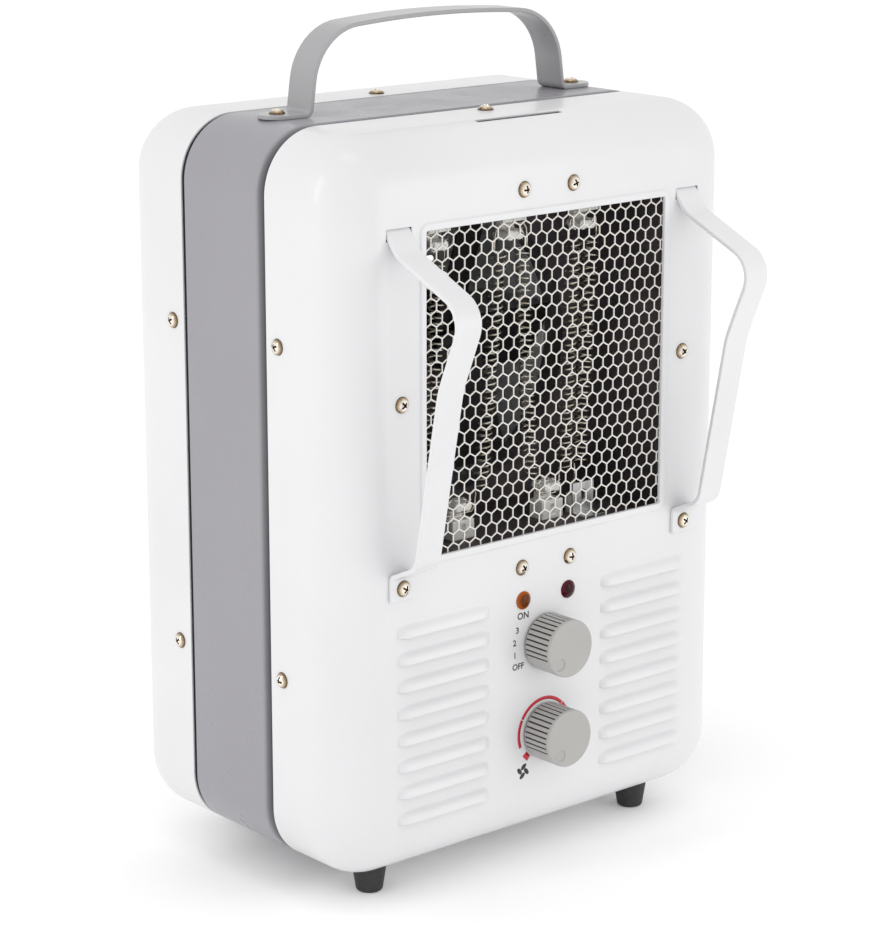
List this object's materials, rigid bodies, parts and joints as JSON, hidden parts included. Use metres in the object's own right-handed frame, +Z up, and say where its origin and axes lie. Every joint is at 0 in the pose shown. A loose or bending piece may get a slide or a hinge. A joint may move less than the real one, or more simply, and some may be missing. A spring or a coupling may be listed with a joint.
{
  "type": "utility fan heater",
  "caption": "Upright sheet-metal fan heater with a mesh-covered outlet, bent strap guards, a carry handle, louvred panels and fluted control knobs.",
  "frame": {"origin": "middle of the footprint box on the floor: halfway across, halfway between the guards' foremost point and the cord bushing's rear face, at the feet's underside", "axes": "+Z up; the outlet, guards and knobs face -Y; +X is to the right seen from the front"},
  "size_m": [0.2396, 0.206, 0.3843],
  "materials": {
    "white_paint": "white enamel, slight gloss",
    "grey_paint": "light grey enamel, semi-gloss",
    "handle_paint": "light grey enamel, semi-gloss",
    "zinc_screws": "bright zinc with a warm tint",
    "steel": "plain plated steel",
    "dark_steel": "dark, heat-stained steel",
    "rubber": "matte black rubber",
    "amber_lens": "glossy amber lens",
    "red_lens": "glossy dark red lens",
    "knob_plastic": "warm light grey plastic, satin",
    "black_plastic": "moulded black plastic",
    "brass": "plain brass",
    "ceramic": "white glazed ceramic",
    "resistance_wire": "oxidised resistance wire",
    "fan_aluminium": "stamped aluminium",
    "copper_winding": "varnished copper winding"
  },
  "bodies": {
    "heater": {"front_cover": "white_paint", "rear_cover": "white_paint", "housing_band": "grey_paint", "casing_screws": "zinc_screws", "carry_handle": "handle_paint", "handle_screws": "zinc_screws", "handle_nuts": "steel", "guard_left": "white_paint", "guard_right": "white_paint", "guard_screws": "zinc_screws", "foot_front_left": "rubber", "foot_front_right": "rubber", "foot_rear_left": "rubber", "foot_rear_right": "rubber", "grille_mesh": "white_paint", "front_screws": "zinc_screws", "power_lamp": "amber_lens", "caution_lamp": "red_lens", "selector_switch": "black_plastic", "selector_terminals": "brass", "thermostat_frame": "steel", "thermostat_blades": "brass", "thermostat_stack": "ceramic", "control_bracket": "steel", "control_nuts": "steel", "heat_chamber": "dark_steel", "fan_shroud": "dark_steel", "shroud_screws": "steel", "heating_coil": "resistance_wire", "insulators": "ceramic", "insulator_screws": "steel", "coil_terminals": "brass", "terminal_bushes": "ceramic", "terminal_shield": "steel", "thermal_cutout": "steel", "motor_stator": "steel", "motor_winding": "copper_winding", "motor_bearing_front": "steel", "motor_bearing_rear": "steel", "motor_bracket": "steel", "bracket_screws": "steel", "motor_screws": "steel", "motor_nuts": "steel", "terminal_block": "ceramic", "cord_bushing": "black_plastic", "tilt_bracket": "steel", "tilt_pin": "steel", "tilt_switch": "black_plastic"},
    "selector": {"selector_knob": "knob_plastic", "selector_spindle": "steel", "selector_cam": "black_plastic"},
    "thermostat": {"thermostat_knob": "knob_plastic", "thermostat_spindle": "steel"},
    "fan": {"fan_blade": "fan_aluminium", "motor_shaft": "steel", "motor_rotor": "dark_steel"},
    "pendulum": {"tilt_pendulum": "steel"}
  },
  "joints": [
    {"name": "selector_turn", "type": "hinge", "parent": "heater", "child": "selector", "pos_m": [0, -0.058, 0.1068], "axis": [0, 1, 0], "range_deg": [0, 60]},
    {"name": "thermostat_turn", "type": "hinge", "parent": "heater", "child": "thermostat", "pos_m": [0, -0.058, 0.0643], "axis": [0, 1, 0], "range_deg": [0, 260]},
    {"name": "fan_spin", "type": "hinge", "parent": "heater", "child": "fan", "pos_m": [0, 0.0139, 0.2303], "axis": [0, 1, 0], "continuous": true},
    {"name": "pendulum_swing", "type": "hinge", "parent": "heater", "child": "pendulum", "pos_m": [-0.038, -0.012, 0.1278], "axis": [1, 0, 0], "range_deg": [-20, 20]}
  ]
}
